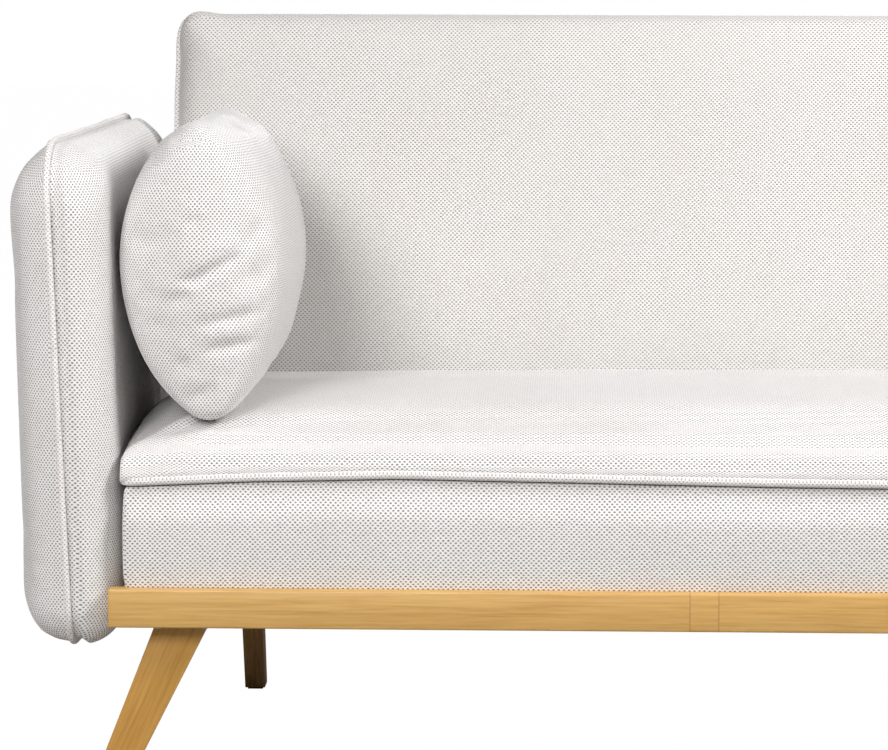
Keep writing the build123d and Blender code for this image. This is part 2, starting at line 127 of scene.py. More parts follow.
def calc(tree: Tree, operation: str, *inputs: Union[float, Socket]) -> Socket:
    """Add a Math node.

    Args:
        tree: The node tree.
        operation: The sum that it does.
        inputs: Its inputs in order, each a number or the socket that feeds it.

    Returns:
        The result's socket.
    """
    node = add_node(tree, "ShaderNodeMath", {"operation": operation})
    for number, value in enumerate(inputs):
        if isinstance(value, Socket):
            tree.links.new(value, node.inputs[number])
        else:
            node.inputs[number].default_value = value
    return node.outputs["Value"]


def noise(tree: Tree, vector: Socket, size_mm: float, detail: float,
          **more: float) -> Node:
    """Add a noise texture.

    Args:
        tree: The node tree.
        vector: Its coordinates in metres.
        size_mm: The size of its patches.
        detail: Its octaves.
        more: Its other settings.

    Returns:
        The texture node.
    """
    return add_node(tree, "ShaderNodeTexNoise", {"Scale": MM / size_mm, "Detail": detail, **more},
                    {"Vector": vector})


def remap(tree: Tree, value: Socket, source: Pair, target: Pair,
          interpolation: str = "LINEAR") -> Socket:
    """Map one range of values to another.

    Args:
        tree: The node tree.
        value: The value.
        source: The range that it comes from.
        target: The range that it goes to.
        interpolation: How it runs from end to end.

    Returns:
        The result's socket.
    """
    node = add_node(tree, "ShaderNodeMapRange",
                    {"interpolation_type": interpolation, "From Min": source[0],
                     "From Max": source[1], "To Min": target[0], "To Max": target[1]},
                    {"Value": value})
    return node.outputs["Result"]


def empty_tree(owner: Union[Material, bpy.types.World]) -> Tree:
    """Clear the nodes of a material or a world.

    Args:
        owner: The material or the world.

    Returns:
        Its empty node tree.
    """
    owner.use_nodes = True
    owner.node_tree.nodes.clear()
    return owner.node_tree


def new_material(name: str) -> Tuple[Material, Tree, Node]:
    """Start an empty material with a principled shader.

    Args:
        name: The material's name.

    Returns:
        The material, its node tree and its principled shader.
    """
    material = bpy.data.materials.new(name)
    tree = empty_tree(material)
    shader = add_node(tree, "ShaderNodeBsdfPrincipled")
    add_node(tree, "ShaderNodeOutputMaterial", links={"Surface": shader.outputs["BSDF"]})
    return material, tree, shader


def ramp(tree: Tree, fac: Socket, stops: Sequence[Tuple[float, str]]) -> Socket:
    """Colour a value by a few stops.

    Args:
        tree: The node tree.
        fac: The value.
        stops: Places from 0 to 1 with hex colours.

    Returns:
        The colour socket.
    """
    node = add_node(tree, "ShaderNodeValToRGB", links={"Fac": fac})
    elements = node.color_ramp.elements
    while len(elements) < len(stops):
        elements.new(0.5)
    for element, (place, colour) in zip(elements, stops):
        element.position = place
        element.color = linear(colour)
    return node.outputs["Color"]


def raise_relief(tree: Tree, shader: Node, height: Socket,
                 strength: float, depth_mm: float) -> None:
    """Give a shader a fine relief.

    Args:
        tree: The node tree.
        shader: The principled shader.
        height: The height of the relief, from 0 to 1.
        strength: How much of it shows.
        depth_mm: Its depth.
    """
    bump = add_node(tree, "ShaderNodeBump", {"Strength": strength, "Distance": depth_mm / MM},
                    {"Height": height})
    tree.links.new(bump.outputs["Normal"], shader.inputs["Normal"])


@dataclass(frozen=True)
class BasketWeave:
    """Polyester basket weave: pale plump yarns with small gaps in staggered rows, the gaps darkened with painted
    shade.

    The eye sees an off white cloth peppered with dark taupe dots, the painted shade of the gaps, matt, with a
    faint sheen.
    """

    name: str = "polyester_basket_weave"
    yarn: str = "F4F2F1"
    yarn_shade: str = "EBE7E5"
    # gap: the colour of the hollows between the yarns, painted shade
    gap: str = "3A322E"
    pitch_mm: float = 5.25
    row_mm: float = 2.58
    gap_range: Pair = (-0.2, 1.0)
    dash: float = 0.24
    slub_mm: float = 9.0
    patch_mm: float = 160.0
    tone_stops: Pair = (0.3, 0.7)
    wander_mm: float = 0.8
    twist_rows: float = 1.0 / 1.3
    twist_range: Pair = (0.25, 0.75)
    faintest_gap: float = 0.7
    fuzz_mm: float = 1.0 / 1.4
    bump_mm: float = 0.5
    bump_strength: float = 0.35
    roughness: float = 0.9
    specular: float = 0.2
    sheen: float = 0.5
    sheen_roughness: float = 0.35

    def gaps(self, tree: Tree, place: Socket) -> Socket:
        """Lay out the gaps between the yarns.

        Args:
            tree: The node tree.
            place: The place on the cloth, in metres.

        Returns:
            How far each place lies in a gap, from 0 to 1.
        """
        axes = add_node(tree, "ShaderNodeSeparateXYZ", links={0: place}).outputs
        half_turn = math.pi * MM
        waves = [calc(tree, "COSINE", calc(tree, "MULTIPLY", axes[axis], half_turn / repeat))
                 for axis, repeat in (("X", self.pitch_mm / 2), ("Y", self.row_mm))]
        across = calc(tree, "MULTIPLY", axes["Y"], 2 * half_turn / self.row_mm)
        dashes = calc(tree, "MULTIPLY_ADD", calc(tree, "COSINE", across), self.dash,
                      calc(tree, "MULTIPLY", *waves))
        return remap(tree, dashes, self.gap_range, (0.0, 1.0), "SMOOTHSTEP")

    def make(self) -> Material:
        """Build the material on the piece's own UV map, which is in metres.

        Returns:
            The material.
        """
        material, tree, shader = new_material(self.name)
        place = add_node(tree, "ShaderNodeTexCoord").outputs
        slubs = noise(tree, place["Object"], self.slub_mm, 1.0)
        offset = add_node(tree, "ShaderNodeVectorMath",
                          {"operation": "MULTIPLY_ADD", 1: (2 * self.wander_mm / MM,) * 3,
                           2: (-self.wander_mm / MM,) * 3},
                          {0: slubs.outputs["Color"]})
        moved = add_node(tree, "ShaderNodeVectorMath", {"operation": "ADD"},
                         {0: place["UV"], 1: offset.outputs["Vector"]})
        gaps = self.gaps(tree, moved.outputs["Vector"])
        patches = noise(tree, place["Object"], self.patch_mm, 3.0)
        tone = calc(tree, "MULTIPLY_ADD", patches.outputs["Fac"], 0.5,
                    calc(tree, "MULTIPLY", slubs.outputs["Fac"], 0.5))
        yarn = ramp(tree, tone, list(zip(self.tone_stops, (self.yarn_shade, self.yarn))))
        # twist varies how deep the painted shade in the gaps runs
        twist = noise(tree, place["UV"], self.twist_rows * self.row_mm, 1.0)
        share = remap(tree, twist.outputs["Fac"], self.twist_range, (self.faintest_gap, 1.0))
        # Mix the gap colour, painted shade in the hollows, over the yarn colour
        cloth = add_node(tree, "ShaderNodeMix", {"data_type": "RGBA", 7: linear(self.gap)},
                         {0: calc(tree, "MULTIPLY", gaps, share), 6: yarn})
        fuzz = noise(tree, place["Object"], self.fuzz_mm, 2.0)
        relief = calc(tree, "MULTIPLY_ADD", gaps, -1.0, fuzz.outputs["Fac"])
        raise_relief(tree, shader, relief, self.bump_strength, self.bump_mm)
        shader.inputs["Roughness"].default_value = self.roughness
        shader.inputs["Specular IOR Level"].default_value = self.specular
        shader.inputs["Sheen Weight"].default_value = self.sheen
        shader.inputs["Sheen Roughness"].default_value = self.sheen_roughness
        tree.links.new(cloth.outputs[2], shader.inputs["Base Color"])
        return material


@dataclass(frozen=True)
class Timber:
    """Planed timber: long fibres with pores, streaks and a tone that drifts along the board.

    The grain runs along one axis of the piece, turned about X, Y and Z for a leaning board.
    At a joint of two boards the grain jumps and a thin glue line shows.
    """

    name: str
    light: str
    middle: str
    dark: str
    grain: Axis = Axis.X
    turn_deg: Triple = (0.0, 0.0, 0.0)
    streak_mm: float = 4.0
    pore_mm: float = 1.1
    pore_share: float = 0.3
    stretch: float = 30.0
    tone_stops: Triple = (0.42, 0.62, 0.82)
    roughness: float = 0.42
    coat: float = 0.25
    coat_roughness: float = 0.35
    bump_mm: float = 0.4
    bump_strength: float = 0.12
    joints: Tuple[float, ...] = ()
    jump: Triple = (0.3, 0.137, 0.071)
    glue: str = "8A5A24"
    glue_half: float = 0.0006
    glue_share: float = 0.45

    def make(self) -> Material:
        """Build the material on Object coordinates.

        Returns:
            The material.
        """
        material, tree, shader = new_material(self.name)
        place = add_node(tree, "ShaderNodeTexCoord").outputs["Object"]
        turned = add_node(tree, "ShaderNodeMapping",
                          {"Rotation": tuple(math.radians(angle) for angle in self.turn_deg)},
                          {"Vector": place})
        fibres, lines = turned.outputs["Vector"], None
        along = add_node(tree, "ShaderNodeSeparateXYZ", links={0: place}).outputs["X"]
        for joint in self.joints:
            fibres = add_node(tree, "ShaderNodeVectorMath",
                              {"operation": "MULTIPLY_ADD", 1: self.jump},
                              {0: calc(tree, "GREATER_THAN", along, joint), 2: fibres}
                              ).outputs["Vector"]
            near = calc(tree, "COMPARE", along, joint, self.glue_half)
            lines = near if lines is None else calc(tree, "MAXIMUM", lines, near)
        squeeze = [1.0, 1.0, 1.0]
        squeeze[self.grain.value] = 1.0 / self.stretch
        board = add_node(tree, "ShaderNodeMapping", {"Scale": tuple(squeeze)},
                         {"Vector": fibres}).outputs["Vector"]
        streaks = noise(tree, board, self.streak_mm, 5.0, Roughness=0.62, Distortion=0.4)
        pores = noise(tree, board, self.pore_mm, 2.0)
        mixed = calc(tree, "MULTIPLY_ADD", pores.outputs["Fac"], self.pore_share,
                     streaks.outputs["Fac"])
        colour = ramp(tree, mixed,
                      list(zip(self.tone_stops, (self.dark, self.middle, self.light))))
        if lines is not None:
            colour = add_node(tree, "ShaderNodeMix", {"data_type": "RGBA", 7: linear(self.glue)},
                              {0: calc(tree, "MULTIPLY", lines, self.glue_share), 6: colour}
                              ).outputs[2]
        gloss = remap(tree, mixed, (0.4, 0.9), (self.roughness + 0.1, self.roughness - 0.06))
        raise_relief(tree, shader, mixed, self.bump_strength, self.bump_mm)
        shader.inputs["Coat Weight"].default_value = self.coat
        shader.inputs["Coat Roughness"].default_value = self.coat_roughness
        shader.inputs["IOR"].default_value = 1.5
        tree.links.new(colour, shader.inputs["Base Color"])
        tree.links.new(gloss, shader.inputs["Roughness"])
        return material


@dataclass(frozen=True)
class Speckle:
    """A plain stuff with a fine mottle: moulded plastic, zinc plate, felt, foam or tape."""

    name: str
    light: str
    dark: str
    grit_mm: float
    roughness: float
    metallic: float = 0.0
    bump_mm: float = 0.1
    bump_strength: float = 0.3
    spread: float = 0.08
    tone_stops: Pair = (0.35, 0.65)

    def make(self) -> Material:
        """Build the material on Object coordinates.

        Returns:
            The material.
        """
        material, tree, shader = new_material(self.name)
        place = add_node(tree, "ShaderNodeTexCoord").outputs["Object"]
        grit = noise(tree, place, self.grit_mm, 4.0, Roughness=0.6).outputs["Fac"]
        colour = ramp(tree, grit, list(zip(self.tone_stops, (self.dark, self.light))))
        gloss = remap(tree, grit, (0.0, 1.0),
                      (self.roughness - self.spread, self.roughness + self.spread))
        raise_relief(tree, shader, grit, self.bump_strength, self.bump_mm)
        shader.inputs["Metallic"].default_value = self.metallic
        tree.links.new(colour, shader.inputs["Base Color"])
        tree.links.new(gloss, shader.inputs["Roughness"])
        return material


def focus(*pieces: Piece) -> None:
    """Select these pieces alone, the first one active.

    Args:
        pieces: The pieces.
    """
    if bpy.context.object and bpy.context.object.mode != "OBJECT":
        bpy.ops.object.mode_set(mode="OBJECT")
    bpy.ops.object.select_all(action="DESELECT")
    for piece in pieces:
        piece.select_set(True)
    bpy.context.view_layer.objects.active = pieces[0]


@contextmanager
def editing(piece: Piece) -> Iterator[None]:
    """Work on a piece in edit mode, with all of it selected at first.

    Args:
        piece: The piece.

    Yields:
        Nothing.
    """
    focus(piece)
    bpy.ops.object.mode_set(mode="EDIT")
    bpy.ops.mesh.select_all(action="SELECT")
    yield
    bpy.ops.object.mode_set(mode="OBJECT")


def copy_node(node: str, name: str) -> Piece:
    """Copy a CAD node where it stands.

    Args:
        node: The CAD node.
        name: The copy's name.

    Returns:
        The copy, at the origin and unscaled.
    """
    source = frame["nodes"][node]
    mesh = source.data.copy()
    mesh.transform(source.matrix_world)
    copy = bpy.data.objects.new(name, mesh)
    bpy.context.scene.collection.objects.link(copy)
    return copy


def modify(piece: Piece, kind: str, **settings: object) -> None:
    """Add a modifier and apply it.

    Args:
        piece: The piece.
        kind: The modifier's type name.
        settings: Its settings.
    """
    focus(piece)
    bpy.ops.object.modifier_add(type=kind)
    modifier = piece.modifiers[-1]
    for key, value in settings.items():
        setattr(modifier, key, value)
    bpy.ops.object.modifier_apply(modifier=modifier.name)


def points(piece: Piece, what: str = "co") -> np.ndarray:
    """Read a piece's points.

    Args:
        piece: The piece.
        what: What is read: "co" for their places in metres, "normal" for their normals.

    Returns:
        One row for each point.
    """
    flat = np.empty(len(piece.data.vertices) * 3)
    piece.data.vertices.foreach_get(what, flat)
    return flat.reshape(-1, 3)


def set_points(piece: Piece, places: np.ndarray) -> None:
    """Move a piece's points.

    Args:
        piece: The piece.
        places: One row for each point, in metres.
    """
    piece.data.vertices.foreach_set("co", places.ravel())
    piece.data.update()


def ease(value: np.ndarray, low: float, high: float) -> np.ndarray:
    """Rise smoothly from 0 to 1.

    Args:
        value: Where to read the rise.
        low: Where it is 0.
        high: Where it is 1.

    Returns:
        The rise at each value.
    """
    part = np.clip((value - low) / (high - low), 0.0, 1.0)
    return part * part * (3.0 - 2.0 * part)


def map_cloth(piece: Piece) -> None:
    """Lay a UV map in metres on a piece, from the side that each face looks to.

    Args:
        piece: The piece.
    """
    with editing(piece):
        bpy.ops.uv.cube_project(cube_size=1.0, correct_aspect=False)


def corner_points(mesh: Mesh) -> np.ndarray:
    """Read which point each corner of a face sits on.

    Args:
        mesh: The mesh.

    Returns:
        The number of a point for each corner.
    """
    corners = np.empty(len(mesh.loops), dtype=np.int32)
    mesh.loops.foreach_get("vertex_index", corners)
    return corners


def set_uv(mesh: Mesh, flat: np.ndarray) -> None:
    """Write a UV map.

    Args:
        mesh: The mesh.
        flat: A row for each corner of a face, in metres.
    """
    if not mesh.uv_layers:
        mesh.uv_layers.new(name="cloth")
    mesh.uv_layers[0].data.foreach_set("uv", flat.astype(np.float32).ravel())


def wrap_cloth(piece: Piece, middle: float, half: float) -> None:
    """Lay a UV map in metres that runs round the front of a piece without a break.

    Args:
        piece: The piece.
        middle: The X of its middle.
        half: Half its width along X.
    """
    mesh = piece.data
    places = points(piece)
    back = places[:, 1] - places[:, 1].min()
    turn = np.tanh(FRONT_TURN * (places[:, 0] - middle) / half)
    round_front = np.stack((places[:, 0] + turn * back, places[:, 2]), axis=1)
    over_top = np.stack((places[:, 0], places[:, 2] + back), axis=1)
    behind = places[:, (0, 2)]
    facing = np.empty(len(mesh.polygons) * 3)
    mesh.polygons.foreach_get("normal", facing)
    facing = facing.reshape(-1, 3)
    level = facing[:, 2] > np.maximum(np.abs(facing[:, 0]), np.abs(facing[:, 1]))
    rear = facing[:, 1] > REAR_TURN * np.maximum(np.abs(facing[:, 0]), np.abs(facing[:, 2]))
    sizes = np.empty(len(mesh.polygons), dtype=np.int32)
    mesh.polygons.foreach_get("loop_total", sizes)
    corners = corner_points(mesh)
    flat = np.where(np.repeat(level, sizes)[:, None], over_top[corners], round_front[corners])
    set_uv(mesh, np.where(np.repeat(rear, sizes)[:, None], behind[corners], flat))


def roll_cloth(piece: Piece, centre: Pair) -> None:
    """Lay a UV map in metres that climbs the front of a cushion and runs on over its top.

    Args:
        piece: The piece.
        centre: The Y and Z that the front rolls about.
    """
    places = points(piece)
    ahead, above = centre[0] - places[:, 1], places[:, 2] - centre[1]
    angle, radius = np.arctan2(above, ahead), np.hypot(ahead, above)
    quarter = 0.5 * math.pi
    steps = np.linspace(-quarter, quarter, ROLL_STEPS)
    nearest = np.round((angle - steps[0]) / (steps[1] - steps[0]))
    nearest = np.clip(nearest, 0, ROLL_STEPS - 1).astype(int)
    inside = (np.abs(places[:, 0]) < ROLL_SPAN) & (np.abs(angle) < quarter)
    count = np.bincount(nearest[inside], minlength=ROLL_STEPS)
    total = np.bincount(nearest[inside], weights=radius[inside], minlength=ROLL_STEPS)
    reach = np.interp(steps, steps[count > 0], total[count > 0] / count[count > 0])
    line = np.stack((reach * np.cos(steps), reach * np.sin(steps)), axis=1)
    climbed = np.concatenate(([0.0], np.cumsum(np.linalg.norm(np.diff(line, axis=0), axis=1))))
    climb = np.where(ahead > 0, np.interp(angle, steps, climbed), climbed[-1] - ahead)
    set_uv(piece.data, np.stack((places[:, 0], climb), axis=1)[corner_points(piece.data)])


def paint(piece: Piece, material: Material) -> None:
    """Give a piece one material.

    Args:
        piece: The piece.
        material: The material.
    """
    piece.data.materials.clear()
    piece.data.materials.append(material)


@dataclass
class Upholstery:
    """A padded piece that starts as its CAD solids and is blown up as cloth."""

    name: str
    nodes: Sequence[str]
    body: str
    voxel: float = 0.006
    pressure: float = 3.0
    cap: float = 0.008
    fill: float = 0.8
    frames: int = 16
    refine: int = 1
    piece: Piece = field(init=False, default=None)

    def start(self) -> None:
        """Copy the CAD solids into one even skin."""
        copies = [copy_node(node, self.name) for node in self.nodes]
        focus(*copies)
        if len(copies) > 1:
            bpy.ops.object.join()
        self.piece = bpy.context.object
        self.piece.name = self.name
        self.piece.data.materials.clear()
        modify(self.piece, "REMESH", mode="VOXEL", voxel_size=self.voxel, adaptivity=0.0)
        modify(self.piece, "SMOOTH", factor=0.5, iterations=4)

    def inflate(self, held: np.ndarray) -> None:
        """Blow the skin up as cloth, with some points held.

        Args:
            held: How firmly each point is held, from 0 to 1.
        """
        before = points(self.piece)
        group = self.piece.vertex_groups.new(name="held")
        for index, weight in enumerate(held):
            if weight > 0.01:
                group.add([index], float(weight), "REPLACE")
        focus(self.piece)
        bpy.ops.object.modifier_add(type="CLOTH")
        cloth = self.piece.modifiers[-1]
        for key, value in CLOTH_FEEL.items():
            setattr(cloth.settings, key, value)
        cloth.settings.use_pressure = True
        cloth.settings.uniform_pressure_force = self.pressure
        cloth.settings.vertex_group_mass = group.name
        cloth.settings.effector_weights.gravity = 0.0
        cloth.collision_settings.use_collision = False
        scene = bpy.context.scene
        for number in range(1, self.frames + 1):
            scene.frame_set(number)
        bpy.ops.object.modifier_apply(modifier=cloth.name)
        scene.frame_set(1)
        self.piece.vertex_groups.clear()
        moved = points(self.piece) - before
        length = np.linalg.norm(moved, axis=1, keepdims=True)
        scale = np.minimum(1.0, self.cap / np.maximum(length, 1e-9))
        set_points(self.piece, before + moved * scale)
        modify(self.piece, "SMOOTH", factor=0.5, iterations=2)
        if self.refine:
            modify(self.piece, "SUBSURF", levels=self.refine)

    def seam(self, gap: Callable[[np.ndarray], np.ndarray], width: float, depth: float) -> None:
        """Draw the cloth in along a sewn line.

        Args:
            gap: The distance of each point from the line, in metres.
            width: How far the pull reaches.
            depth: How far the cloth goes in at the line.
        """
        places = points(self.piece)
        pull = 1.0 - ease(np.abs(gap(places)), 0.0, width)
        inwards = -points(self.piece, "normal")
        set_points(self.piece, places + inwards * (pull * depth)[:, None])

    def finish(self, material: Material,
               wrapped: Optional[Pair] = None,
               rolled: Optional[Pair] = None) -> None:
        """Map and paint the piece, hide the CAD nodes it stands for and hang it on its body.

        Args:
            material: The cloth.
            wrapped: The middle and half width of a piece with cloth that runs round its front.
            rolled: The Y and Z that the cloth of a cushion's front rolls about.
        """
        if wrapped:
            wrap_cloth(self.piece, *wrapped)
        elif rolled:
            roll_cloth(self.piece, rolled)
        else:
            map_cloth(self.piece)
        paint(self.piece, material)
        focus(self.piece)
        bpy.ops.object.shade_smooth()
        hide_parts(*self.nodes)
        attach(self.piece, self.body)

    def welt(self, name: str, nodes: Sequence[str], point: Triple, normal: Triple,
             radius: float, material: Material) -> Piece:
        """Sew a cord of the same cloth along a plane cut of the piece.

        Args:
            name: The cord's name.
            nodes: The CAD nodes it stands for.
            point: A point of the plane.
            normal: The plane's normal.
            radius: The cord's radius in metres.
            material: The cloth.

        Returns:
            The cord.
        """
        focus(self.piece)
        bpy.ops.object.duplicate()
        loop = bpy.context.object
        loop.name = name
        with editing(loop):
            bpy.ops.mesh.bisect(plane_co=point, plane_no=normal, clear_inner=True,
                                clear_outer=True)
            bpy.ops.mesh.select_all(action="SELECT")
            bpy.ops.mesh.remove_doubles(threshold=0.0015)
        return roll_cord(loop, nodes, self.body, radius, material)


def roll_cord(loop: Piece, nodes: Sequence[str], body: str, radius: float,
              material: Material) -> Piece:
    """Turn a loop of edges into a rolled cord of cloth.

    Args:
        loop: The loop of edges.
        nodes: The CAD nodes the cord stands for.
        body: The body it rides on.
        radius: The cord's radius in metres.
        material: The cloth.

    Returns:
        The cord.
    """
    focus(loop)
    loop.data.materials.clear()
    bpy.ops.object.convert(target="CURVE")
    loop.data.bevel_depth = radius
    loop.data.bevel_resolution = 3
    bpy.ops.object.convert(target="MESH")
    cord = bpy.context.object
    modify(cord, "SMOOTH", factor=0.5, iterations=3)
    map_cloth(cord)
    paint(cord, material)
    focus(cord)
    bpy.ops.object.shade_smooth()
    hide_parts(*nodes)
    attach(cord, body)
    return cord


@dataclass
class Arm:
    """One slab arm: two pads sewn together round their rim, the seam folded outwards."""

    side: Side
    cloth: Material
    trim: Material
    flare_deg: float = 1.6
    half: float = 0.0515
    lean: float = 0.0165
    toe: float = 0.023
    seam_in: float = 0.004
    held_by_seam: Pair = (0.002, 0.012)
    held_inside: Pair = (-0.046, -0.030)
    groove: float = 0.011
    groove_in: float = 0.004
    groove_depth: float = 0.006
    cord: float = 0.0042
    cord_out: float = 0.003
    crest: float = 0.006
    crest_reach: float = 0.03
    inner_slope: float = 0.06
    outer_slope: float = 0.03
    roof_below: Pair = (0.09, 0.02)

    def build(self) -> None:
        """Blow up the two pads, draw in the seam and sew on the welt."""
        end = self.side.name.lower()
        nodes = [f"{end}_arm_inner_pad", f"{end}_arm_outer_pad"]
        low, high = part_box(f"{end}_arm_welt")
        middle = Vector(((low.x + high.x) / 2, 0.0, (low.z + high.z) / 2))
        angle = math.radians(self.flare_deg) * self.side.value
        across = Vector((math.cos(angle), 0.0, -math.sin(angle))) * self.side.value
        pad = Upholstery(f"{end}_arm_cushion", nodes, "base", voxel=0.009, pressure=2.5,
                         cap=0.005, fill=0.85)
        pad.start()

        def outward(places: np.ndarray) -> np.ndarray:
            return (places - np.array(middle)) @ np.array(across)

        def seam(places: np.ndarray) -> np.ndarray:
            aside = self.lean * (places[:, 2] - middle.z) - self.toe * (places[:, 1] - low.y)
            return outward(places) - self.seam_in - aside

        places = points(pad.piece)
        held = np.maximum(1.0 - ease(np.abs(seam(places)), *self.held_by_seam),
                          1.0 - ease(outward(places), *self.held_inside))
        pad.inflate(held)
        places = points(pad.piece)
        top = places[:, 2].max()
        away = seam(places)
        fall = np.where(away > 0, self.outer_slope, self.inner_slope) * np.abs(away)
        roof = self.crest * (1.0 - ease(np.abs(away), 0.0, self.crest_reach)) - fall
        foot, full = (top - below for below in self.roof_below)
        places[:, 2] += roof * ease(places[:, 2], foot, full)
        set_points(pad.piece, places)
        pad.seam(lambda spots: seam(spots) + self.groove_in, self.groove, self.groove_depth)
        pad.finish(self.cloth, (middle.x, self.half))
        plane = across + Vector((0.0, self.toe, -self.lean))
        middle.y = low.y
        pad.welt(f"{end}_arm_piping", [f"{end}_arm_welt"],
                 tuple(middle + across * (self.seam_in + self.cord_out)),
                 tuple(plane.normalized()), self.cord, self.trim)


@dataclass
class Seat:
    """The bench seat: a crowned top, an upright border and the rolled lip between them."""

    cloth: Material
    trim: Material
    lip: float = 0.0048
    lip_rise: float = 0.0035
    lip_inset: float = 0.0022
    lip_corner: float = 0.014
    lip_cuts: int = 60
    plump: float = 0.008
    plump_front: float = 0.6
    plump_sides: Pair = (0.045, 0.008)
    plump_depth: Pair = (0.012, 0.05)
    side_play: float = 0.002
    droop: float = 0.008
    droop_reach: float = 0.10
    shoulder: float = 0.06
    shoulder_power: float = 1.7
    roll_in: float = 0.06
    crown: float = 0.009
    crown_above: Pair = (0.025, 0.06)
    rear_rise: float = 0.015
    rear_run: Pair = (0.0, 0.075)
    held_above: Pair = (0.002, 0.02)
    held_behind: Pair = (0.03, 0.01)
    swell: float = 0.007
    swell_below: Pair = (0.045, 0.008)
    front_before: float = -0.3
    hem: float = 0.0035
    hem_reach: float = 0.010
    sag_above: Pair = (0.012, 0.055)
    sag_below: float = 0.11
    sag_at: Sequence[float] = (0.0, 0.15, 0.34, 0.54, 0.70, 0.827)
    sag: Sequence[float] = (-0.007, -0.006, -0.003, 0.0, -0.004, -0.010)

    def settle(self, piece: Piece, level: float) -> None:
        """Let the seam wander up and down along the seat and the top swell in the middle.

        Args:
            piece: A piece of the seat.
            level: The height of the seam.
        """
        places = points(piece)
        along = np.abs(places[:, 0])
        height = places[:, 2] - level
        near = np.where(height > 0, 1.0 - ease(height, *self.sag_above),
                        ease(height, -self.sag_below, 0.0))
        rise = self.crown * (1.0 - (along / self.sag_at[-1]) ** 2)
        rise += self.rear_rise * ease(places[:, 1], *self.rear_run)
        places[:, 2] += np.interp(along, self.sag_at, self.sag) * near
        places[:, 2] += rise * ease(places[:, 2] - level, *self.crown_above)
        set_points(piece, places)

    def edge(self, level: float) -> Piece:
        """Draw the loop that the lip follows, round the seam of the seat.

        Args:
            level: The height of the seam.

        Returns:
            The loop of edges.
        """
        low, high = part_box("seat_welt")
        inset = 2 * (self.lip + self.lip_inset)
        width, depth = high.x - low.x - inset / 2, high.y - low.y - inset
        bpy.ops.object.select_all(action="DESELECT")
        bpy.ops.mesh.primitive_plane_add(size=1.0, location=(0.0, (low.y + high.y) / 2,
                                                             level + self.lip_rise))
        loop = bpy.context.object
        loop.name = "seat_piping"
        loop.scale = (width, depth, 1.0)
        bpy.ops.object.transform_apply(location=True, rotation=True, scale=True)
        with editing(loop):
            bpy.ops.mesh.bevel(offset=self.lip_corner, segments=5, affect="VERTICES")
            bpy.ops.mesh.select_all(action="SELECT")
            bpy.ops.mesh.delete(type="ONLY_FACE")
            bpy.ops.mesh.select_all(action="SELECT")
            bpy.ops.mesh.subdivide(number_cuts=self.lip_cuts)
        return loop

    def top(self, low: Vector, level: float) -> Upholstery:
        """Blow up the top pad, and plump its front and its sides.

        Args:
            low: The lowest corner of the seam.
            level: The height of the seam.

        Returns:
            The top pad.
        """
        pad = Upholstery("seat_cushion", ["seat_top_pad"], "base", voxel=0.0085, pressure=2.0,
                         cap=0.006, fill=0.85, refine=0)
        pad.start()
        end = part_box("seat_top_pad")[1]
        places = points(pad.piece)
        held = np.maximum(1.0 - ease(places[:, 2] - level, *self.held_above),
                          ease(places[:, 1], *(end.y - inset for inset in self.held_behind)))
        pad.inflate(held)
        places = points(pad.piece)
        share = np.clip((places[:, 2] - low.z) / (end.z - low.z), 0.0, 1.0)
        belly = self.plump * np.sqrt(4.0 * share * (1.0 - share))
        aside, outwards = np.abs(places[:, 0]), np.sign(places[:, 0])
        flank = ease(aside, *(end.x - inset for inset in self.plump_sides))
        front = 1.0 - ease(places[:, 1] - low.y, *self.plump_depth)
        inset = np.clip((end.x - aside) / self.shoulder, 0.0, 1.0)
        places[:, 0] += outwards * self.shoulder * (inset - inset ** self.shoulder_power)
        places[:, 0] += outwards * belly * flank
        limit = end.x + self.side_play
        places[:, 0] = np.clip(places[:, 0], -limit, limit)
        places[:, 1] -= self.plump_front * belly * front
        fall = ease(np.abs(places[:, 0]), end.x - self.droop_reach, end.x) ** 2
        places[:, 2] -= self.droop * share * fall
        set_points(pad.piece, places)
        return pad

    def border(self, level: float) -> Upholstery:
        """Blow up the upright border, bring its hem down to the rail and swell its front.

        Args:
            level: The height of the seam.

        Returns:
            The border.
        """
        nodes = ["seat_front_border", "left_seat_side_border", "right_seat_side_border",
                 "seat_rear_border"]
        pad = Upholstery("seat_border", nodes, "base", voxel=0.006, fill=0.7)
        pad.start()
        places = points(pad.piece)
        foot = places[:, 2].min()
        places[:, 2] -= self.hem * (1.0 - ease(places[:, 2], foot, foot + self.hem_reach))
        below = 1.0 - ease(places[:, 2], *(level - drop for drop in self.swell_below))
        places[:, 1] -= self.swell * below * (places[:, 1] < self.front_before)
        set_points(pad.piece, places)
        return pad

    def build(self) -> None:
        """Make the top and the border and sew on the lip."""
        low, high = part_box("seat_welt")
        level = (low.z + high.z) / 2
        top = self.top(low, level)
        lip = roll_cord(self.edge(level), ["seat_welt"], "base", self.lip, self.trim)
        border = self.border(level)
        for piece in (top.piece, border.piece, lip):
            self.settle(piece, level)
        top.finish(self.cloth, rolled=(low.y + self.roll_in, level))
        border.finish(self.cloth)


